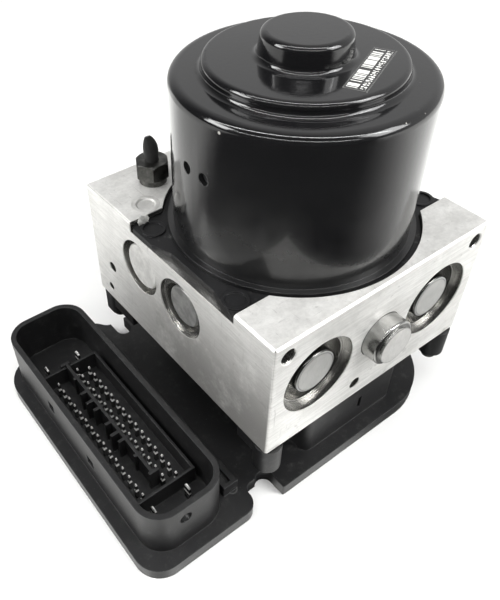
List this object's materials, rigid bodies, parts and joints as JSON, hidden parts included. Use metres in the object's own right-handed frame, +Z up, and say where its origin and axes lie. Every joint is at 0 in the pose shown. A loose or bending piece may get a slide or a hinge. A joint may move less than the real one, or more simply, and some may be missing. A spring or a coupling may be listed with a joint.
{
  "type": "abs brake module",
  "caption": "Hydraulic brake control unit: drilled aluminium valve block with a black pump motor on top and a moulded controller with a multi-pin connector underneath.",
  "frame": {"origin": "on the motor axis, in the plane of the underside of the controller cover", "axes": "+Z up along the motor axis, away from the controller; -Y towards the face with the three round caps; +X away from the connector"},
  "size_m": [0.1408, 0.1128, 0.1383],
  "materials": {
    "block": "machined, mottled",
    "can": "gloss black paint",
    "plate": "satin black",
    "magnet": "sintered ferrite",
    "lamination": "stacked sheet",
    "copper": "enamelled copper wire",
    "commutator_bars": "copper bars",
    "black_plastic": "moulded, satin",
    "carbon": "carbon brush",
    "steel": "ground",
    "bearing_steel": "polished",
    "cap_steel": "pressed, satin",
    "bright_cap": "bright pressed steel",
    "plug_aluminium": "turned",
    "dark_plug": "phosphated",
    "nut_steel": "black zinc",
    "pipe": "coated steel pipe",
    "spring_steel": "spring wire",
    "piston_rubber_plastic": "filled plastic",
    "board": "green lacquer",
    "pin_tin": "tinned",
    "seal": "moulded silicone",
    "coil_body": "overmoulded"
  },
  "bodies": {
    "module": {"valve_block": "block", "motor_end_plate": "plate", "motor_can": "can", "motor_magnets": "magnet", "brush_plate": "black_plastic", "motor_brushes": "carbon", "motor_contacts": "pin_tin", "upper_bearing": "bearing_steel", "lower_bearing": "bearing_steel", "damper_cap": "bright_cap", "tube_nut": "nut_steel", "pipe_stub": "pipe", "top_port_plug": "plug_aluminium", "ecu_housing": "black_plastic", "ecu_cover": "black_plastic", "circuit_board": "board", "connector_pins": "pin_tin", "connector_blades": "pin_tin", "housing_sleeves": "steel", "housing_screws": "nut_steel", "block_seal": "seal", "pump_liner_left": "steel", "pump_spring_left": "spring_steel", "pump_plug_left": "dark_plug", "chamber_plug_left": "plug_aluminium", "accumulator_cap_left": "cap_steel", "accumulator_spring_left": "spring_steel", "pump_liner_right": "steel", "pump_spring_right": "spring_steel", "pump_plug_right": "dark_plug", "chamber_plug_right": "plug_aluminium", "accumulator_cap_right": "cap_steel", "accumulator_spring_right": "spring_steel", "inlet_valve_1": "steel", "inlet_coil_1": "coil_body", "outlet_valve_1": "steel", "outlet_coil_1": "coil_body", "inlet_valve_2": "steel", "inlet_coil_2": "coil_body", "outlet_valve_2": "steel", "outlet_coil_2": "coil_body", "inlet_valve_3": "steel", "inlet_coil_3": "coil_body", "outlet_valve_3": "steel", "outlet_coil_3": "coil_body", "inlet_valve_4": "steel", "inlet_coil_4": "coil_body", "outlet_valve_4": "steel", "outlet_coil_4": "coil_body"},
    "rotor": {"motor_shaft": "steel", "armature_core": "lamination", "armature_winding": "copper", "commutator": "commutator_bars", "eccentric_bearing": "bearing_steel"},
    "pump_piston_left": {"pump_piston_left": "steel"},
    "pump_piston_right": {"pump_piston_right": "steel"},
    "accumulator_piston_left": {"accumulator_piston_left": "piston_rubber_plastic"},
    "accumulator_piston_right": {"accumulator_piston_right": "piston_rubber_plastic"}
  },
  "joints": [
    {"name": "rotor_spin", "type": "hinge", "parent": "module", "child": "rotor", "pos_m": [0, 0, 0.0591], "axis": [0, 0, 1], "continuous": true},
    {"name": "pump_left_slide", "type": "slide", "parent": "module", "child": "pump_piston_left", "axis": [1, 0, 0], "range_m": [0, 0.001]},
    {"name": "pump_right_slide", "type": "slide", "parent": "module", "child": "pump_piston_right", "axis": [-1, 0, 0], "range_m": [0, 0.001]},
    {"name": "accumulator_left_slide", "type": "slide", "parent": "module", "child": "accumulator_piston_left", "axis": [0, 1, 0], "range_m": [0, 0.006]},
    {"name": "accumulator_right_slide", "type": "slide", "parent": "module", "child": "accumulator_piston_right", "axis": [0, 1, 0], "range_m": [0, 0.006]}
  ]
}
